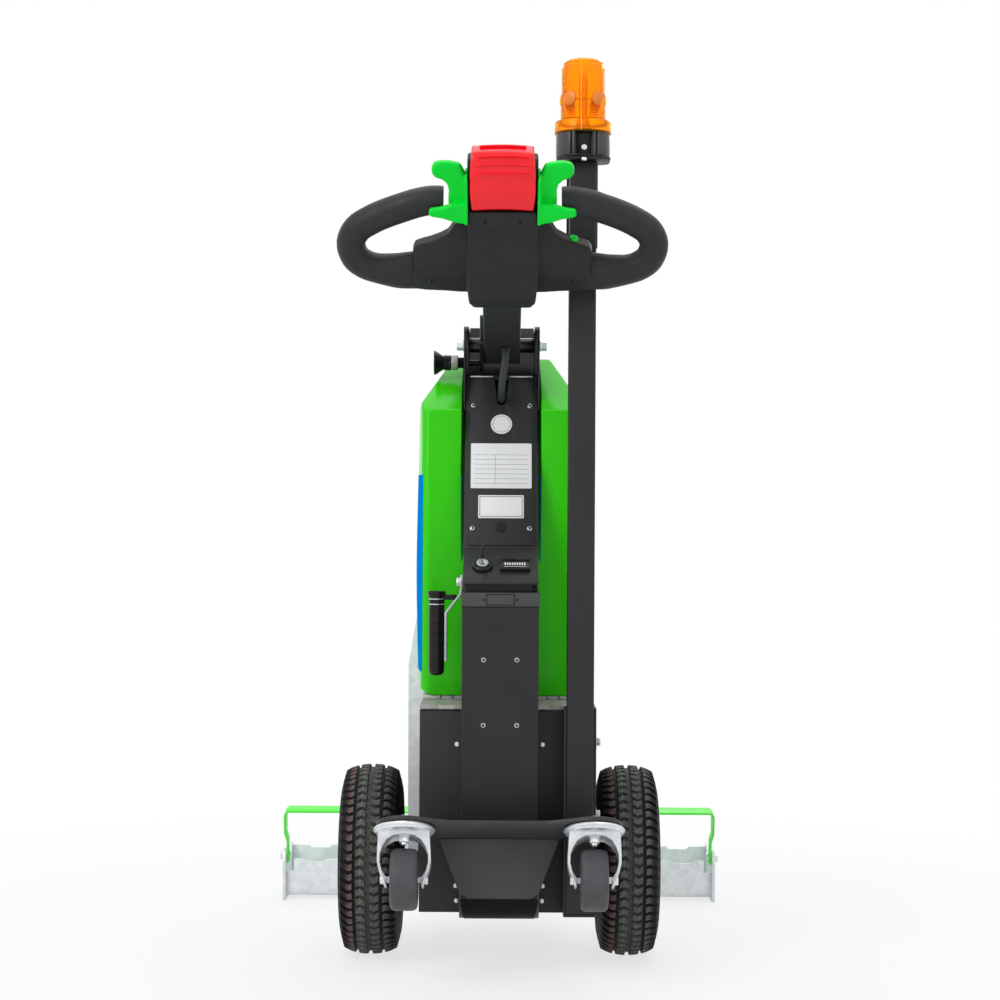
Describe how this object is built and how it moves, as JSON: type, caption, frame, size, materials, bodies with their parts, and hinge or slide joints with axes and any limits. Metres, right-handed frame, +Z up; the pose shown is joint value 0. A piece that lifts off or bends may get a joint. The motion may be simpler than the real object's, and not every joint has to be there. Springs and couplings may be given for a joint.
{
  "type": "electric tow tug",
  "caption": "Walk-behind battery tow tug with a tilting tiller head, drive wheels, castors, a beacon mast, and a low coupling channel with a swinging bail.",
  "frame": {"origin": "middle of the tug's width and length, on the floor", "axes": "+X to the operator's right, +Y ahead towards the load, +Z up"},
  "size_m": [0.684, 0.8455, 1.203],
  "materials": {
    "frame_black": "fine-textured black powder coat",
    "hood_green": "bright green moulded plastic",
    "bail_green": "light green powder coat",
    "wing_green": "emerald green plastic",
    "galvanised": "galvanised sheet",
    "zinc": "bright zinc plate",
    "strip_white": "white strip",
    "red_plastic": "red plastic",
    "black_plastic": "black moulded plastic",
    "grip_rubber": "soft black grip",
    "amber_lens": "amber ribbed lens",
    "tyre": "dark grey rubber",
    "rim_grey": "grey painted pressed steel",
    "castor_grey": "grey rubber wheel",
    "cable": "grey-black cable jacket",
    "battery": null,
    "drive": "motor and gearbox, not seen"
  },
  "bodies": {
    "chassis": {"chassis_frame": "frame_black", "chassis_top_plate": "galvanised", "hood_base_strip": "strip_white", "hood": "hood_green", "battery_block": "battery", "drive_unit": "drive", "front_plate": "galvanised", "lower_rear_cover": "frame_black", "castor_plate": "frame_black", "lower_column": "frame_black", "console": "frame_black", "upper_column": "frame_black", "column_cover_plate": "frame_black", "tiller_yoke": "frame_black", "tiller_pivot_bolt": "zinc", "index_plunger": "black_plastic", "key_switch": "black_plastic", "battery_gauge": "black_plastic", "lamp_strap": "frame_black", "hand_lamp": "black_plastic", "mast_pole": "frame_black", "mast_channel": "frame_black", "beacon_bracket": "frame_black", "beacon_base": "black_plastic", "beacon_lens": "amber_lens", "beam_arms": "galvanised", "coupling_channel": "galvanised", "beam_end_plates": "galvanised", "bail_pins": "zinc", "tiller_cable": "cable", "castor_kingpins": "zinc"},
    "drive_wheel_right": {"drive_tyre_right": "tyre", "drive_rim_right": "rim_grey", "half_shaft_right": "zinc"},
    "drive_wheel_left": {"drive_tyre_left": "tyre", "drive_rim_left": "rim_grey", "half_shaft_left": "zinc"},
    "castor_swivel_right": {"castor_fork_right": "zinc"},
    "castor_swivel_left": {"castor_fork_left": "zinc"},
    "castor_roller_right": {"castor_wheel_right": "castor_grey"},
    "castor_roller_left": {"castor_wheel_left": "castor_grey"},
    "tiller": {"tiller_tube": "frame_black", "pivot_sleeve": "frame_black", "index_sector": "frame_black", "tiller_head": "black_plastic", "belly_button": "red_plastic", "throttle_wings": "wing_green", "horn_button": "wing_green", "hand_grip_right": "grip_rubber", "hand_grip_left": "grip_rubber"},
    "bail": {"bail": "bail_green"}
  },
  "joints": [
    {"name": "drive_wheel_right_spin", "type": "hinge", "parent": "chassis", "child": "drive_wheel_right", "pos_m": [0.17525, -0.078, 0.13], "axis": [1, 0, 0], "continuous": true},
    {"name": "drive_wheel_left_spin", "type": "hinge", "parent": "chassis", "child": "drive_wheel_left", "pos_m": [-0.17525, -0.078, 0.13], "axis": [1, 0, 0], "continuous": true},
    {"name": "castor_right_swivel", "type": "hinge", "parent": "chassis", "child": "castor_swivel_right", "pos_m": [0.121, -0.31499, 0.20892], "axis": [0, 0.3907, 0.9205], "continuous": true},
    {"name": "castor_right_spin", "type": "hinge", "parent": "castor_swivel_right", "child": "castor_roller_right", "pos_m": [0.121, -0.3162, 0.14208], "axis": [1, 0, 0], "continuous": true},
    {"name": "castor_left_swivel", "type": "hinge", "parent": "chassis", "child": "castor_swivel_left", "pos_m": [-0.121, -0.31499, 0.20892], "axis": [0, 0.3907, 0.9205], "continuous": true},
    {"name": "castor_left_spin", "type": "hinge", "parent": "castor_swivel_left", "child": "castor_roller_left", "pos_m": [-0.121, -0.3162, 0.14208], "axis": [1, 0, 0], "continuous": true},
    {"name": "tiller_tilt", "type": "hinge", "parent": "chassis", "child": "tiller", "pos_m": [0, -0.088, 0.839], "axis": [-1, 0, 0], "range_deg": [-45, 0], "deforming": ["tiller_cable"]},
    {"name": "bail_swing", "type": "hinge", "parent": "chassis", "child": "bail", "pos_m": [0, 0.32, 0.068], "axis": [-1, 0, 0], "range_deg": [0, 70]}
  ]
}
